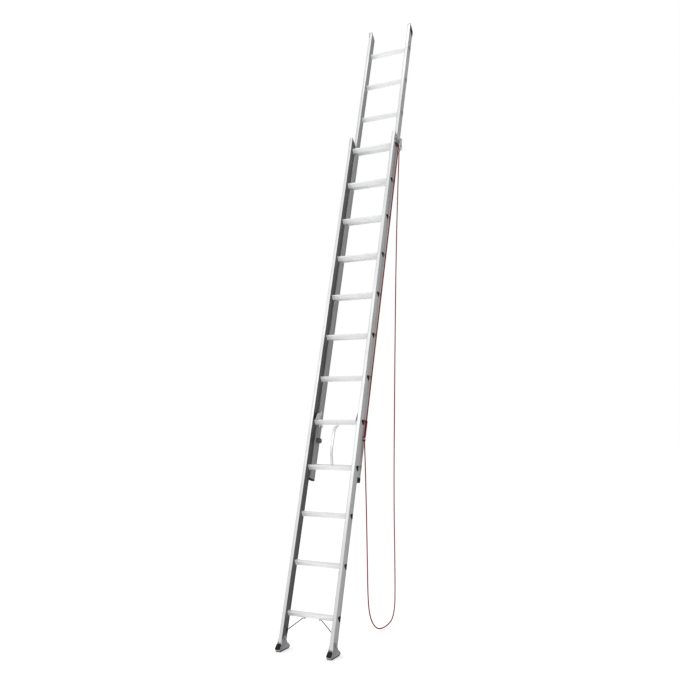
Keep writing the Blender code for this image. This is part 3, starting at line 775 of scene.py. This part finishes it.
OUT = Vector((1, 0, 0))
BASE_FACE, GUIDE_FACE, FLY_FACE, EYE_FACE = 0.2090, 0.2113, 0.1990, 0.2013     # x of each outer face
FIRST_TREAD = 0.268                      # s of the base's first tread
GUIDE_LOW = FIRST_TREAD + 11 * PITCH + 0.098 - 0.076
HOOK_RUNG = FIRST_TREAD + 4 * PITCH      # the rung that the locks hang on
RIVET_HIGH = 0.0014
rivets = {"base": [], "fly": []}
for way in (-1, 1):
    rivets["base"] += [(at(way * BASE_FACE, d, 0.127), OUT * way, 0.0026) for d in (0.020, 0.046)]
    rivets["base"] += [(at(way * GUIDE_FACE, d, GUIDE_LOW + s), OUT * way, 0.0030)
                       for d, s in ((0.010, 0.012), (0.056, 0.012), (0.010, 0.048), (0.056, 0.050))]
    rivets["fly"] += [(at(way * FLY_FACE, d, HOOK_RUNG - 0.139), OUT * way, 0.0024)
                      for d in (0.080, 0.112)]
rivets["fly"] += [(at(EYE_FACE, EYE_D, EYE_S + s), OUT, 0.0026) for s in (-0.010, 0.010)]
for section, places in rivets.items():
    bm = bmesh.new()
    for centre, way, radius in places:
        dome(bm, centre, way, radius, RIVET_HIGH)
    heads = new_piece(section + "_rivets", bm, zinc, 30.0)
    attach(heads, section)
print("rivets", {section: len(places) for section, places in rivets.items()})

# %% [markdown]
# ## Inserts at the lower ends
# A cream plastic tongue shows below the front of each base rail, between the rail and its foot.

# %% Inserts
INSERT_X, INSERT_HALF = 0.1955, 0.0112   # middle and half width of an insert
INSERT_S, INSERT_D = (0.0525, 0.0592), (0.0018, 0.0100)
bm = bmesh.new()
for way in (-1, 1):
    corners = [(way * (INSERT_X + x * INSERT_HALF), INSERT_S[end])
               for x, end in ((-1, 0), (1, 0), (1, 1), (-1, 1))]
    rings = [[bm.verts.new(at(x, d, s)) for x, s in rounded(corners, 0.0015)] for d in INSERT_D]
    for i in range(len(rings[0])):
        j = (i + 1) % len(rings[0])
        bm.faces.new((rings[0][i], rings[0][j], rings[1][j], rings[1][i]))
    bm.faces.new(rings[0])
    bm.faces.new(rings[1][::-1])
bmesh.ops.recalc_face_normals(bm, faces=bm.faces)
inserts = new_piece("base_end_inserts", bm, cream_plastic, 30.0)
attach(inserts, "base")
print("inserts", [round(value, 4) for value in INSERT_S])

# %% [markdown]
# ## Handle, pulley and eye
# The single fittings are softened in the same way as the paired ones: the bowed handle, the strap, axle
# and nylon wheel of the pulley, and the eye that the rope is tied to.

# %% Single fittings
softened("carry_handle", strap_metal, 0.0018, 3, 50.0)
softened("pulley_bracket", zinc, 0.0005, 2)
softened("pulley_axle", zinc, 0.0008, 3, 50.0)
softened("pulley_wheel", pale_nylon, 0.0004, 2, 50.0)
softened("rope_eye", zinc, 0.0008, 2)

# %% [markdown]
# ## Lock springs
# A small coil spring closes each rung lock, made by the coil tree.

# %% Springs
for side, way in (("left", -1), ("right", 1)):
    low, high = span("lock_spring_" + side)
    middle = [(a + b) / 2 for a, b in zip(low, high)]
    foot, head = at(middle[0], middle[1], low[2] + 0.001), at(middle[0], middle[1], high[2] - 0.001)
    spring = new_piece("lock_spring_coil_" + side, bmesh.new(), zinc)
    settle(spring, coil_tree, 60.0, Turns=11.0, Coil_Radius=0.0061, Wire_Radius=0.0011,
           Height=(head - foot).length, Base=tuple(foot), Tilt=(-LEAN_TURN, 0.0, 0.0), Finish=zinc)
    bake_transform(spring)
    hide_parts("lock_spring_" + side)
print("springs", round((head - foot).length, 4))

# %% [markdown]
# ## Floor and light
# A pale studio: a broad floor that glows a little, so that it stays white right to the frame's edge, and
# an even white surround with two large soft lamps. Bare aluminium shows what it reflects. The surround
# goes darker on the climber's far right, which makes the rails' side walls read grey against their bright
# front faces, and it is stronger from below, where light comes up from the floor to the rungs' undersides.

# %% Floor, surround and lamps
FLOOR_GLOW = 0.42
EVEN_LIGHT = 0.88                       # the surround's strength
SIDE_LIGHT = 0.32                       # its strength on the climber's far right
BELOW_LIGHT = 1.3                       # how much stronger it is from below
bm = bmesh.new()
bmesh.ops.create_grid(bm, x_segments=1, y_segments=1, size=40.0)
floor_finish = Finish("studio_floor", Metallic=0.0, Specular_IOR_Level=0.1)
cloud = floor_finish.noise(floor_finish.place(), 0.6, 3.0)
floor_finish.feed(Base_Color=floor_finish.blend(cloud, (0.86, 0.86, 0.86), (0.90, 0.90, 0.90)),
                  Roughness=0.80 + (cloud - 0.5) * 0.1)
floor_finish.feed(Emission_Color=floor_finish.blend(cloud, (0.97, 0.97, 0.97), (1, 1, 1)))
floor_finish.shader.inputs["Emission Strength"].default_value = FLOOR_GLOW
floor = new_piece("studio_floor", bm, floor_finish.material)
floor.visible_glossy = False            # metal shows the even surround instead, low down as well

world = bpy.data.worlds.new("studio")
bpy.context.scene.world = world
world.use_nodes = True
nodes, links = world.node_tree.nodes, world.node_tree.links
surround = nodes["Background"]
where = nodes.new("ShaderNodeTexCoord")
parts = nodes.new("ShaderNodeSeparateXYZ")
links.new(where.outputs["Generated"], parts.inputs[0])


def fade(axis, start, stop, before, after):
    """A smooth change of strength along a world direction, from start to stop."""
    shade = nodes.new("ShaderNodeMapRange")
    shade.interpolation_type = "SMOOTHSTEP"
    for socket, value in (("From Min", start), ("From Max", stop), ("To Min", before), ("To Max", after)):
        shade.inputs[socket].default_value = value
    links.new(parts.outputs[axis], shade.inputs["Value"])
    return shade.outputs["Result"]


both = nodes.new("ShaderNodeMath")
both.operation = "MULTIPLY"
links.new(fade("X", -0.10, 0.75, EVEN_LIGHT, SIDE_LIGHT), both.inputs[0])
links.new(fade("Z", -0.30, -0.70, 1.0, BELOW_LIGHT), both.inputs[1])
seen = nodes.new("ShaderNodeLightPath")
pick = nodes.new("ShaderNodeMix")
links.new(seen.outputs["Is Camera Ray"], pick.inputs["Factor"])
links.new(both.outputs[0], pick.inputs["A"])
pick.inputs["B"].default_value = 1.0
links.new(pick.outputs["Result"], surround.inputs["Strength"])
surround.inputs["Color"].default_value = (1, 1, 1, 1)


def lamp(name, place, aim, size, power):
    light = bpy.data.lights.new(name, "AREA")
    light.shape, light.size, light.energy = "DISK", size, power
    made = bpy.data.objects.new(name, light)
    made.location = place
    made.rotation_euler = (Vector(aim) - Vector(place)).to_track_quat("-Z", "Y").to_euler()
    bpy.context.scene.collection.objects.link(made)


lamp("front_lamp", (-2.2, -4.5, 5.0), (0, 0.5, 2.3), 3.6, 30)
lamp("top_lamp", (0.0, -0.5, 7.5), (0, 0.7, 2.0), 3.0, 25)
bpy.context.scene.view_settings.view_transform = "Standard"

# %% Cords, sizes and finish
for name, start in (("rope_running", eye_top), ("rope_hanging", routes["rope_hanging"][0]),
                    ("rope_tail", eye_under)):
    round(route_length(routes[name]), 3)
print("rope in all", round(sum(route_length(points) for points in routes.values()), 2), "m")
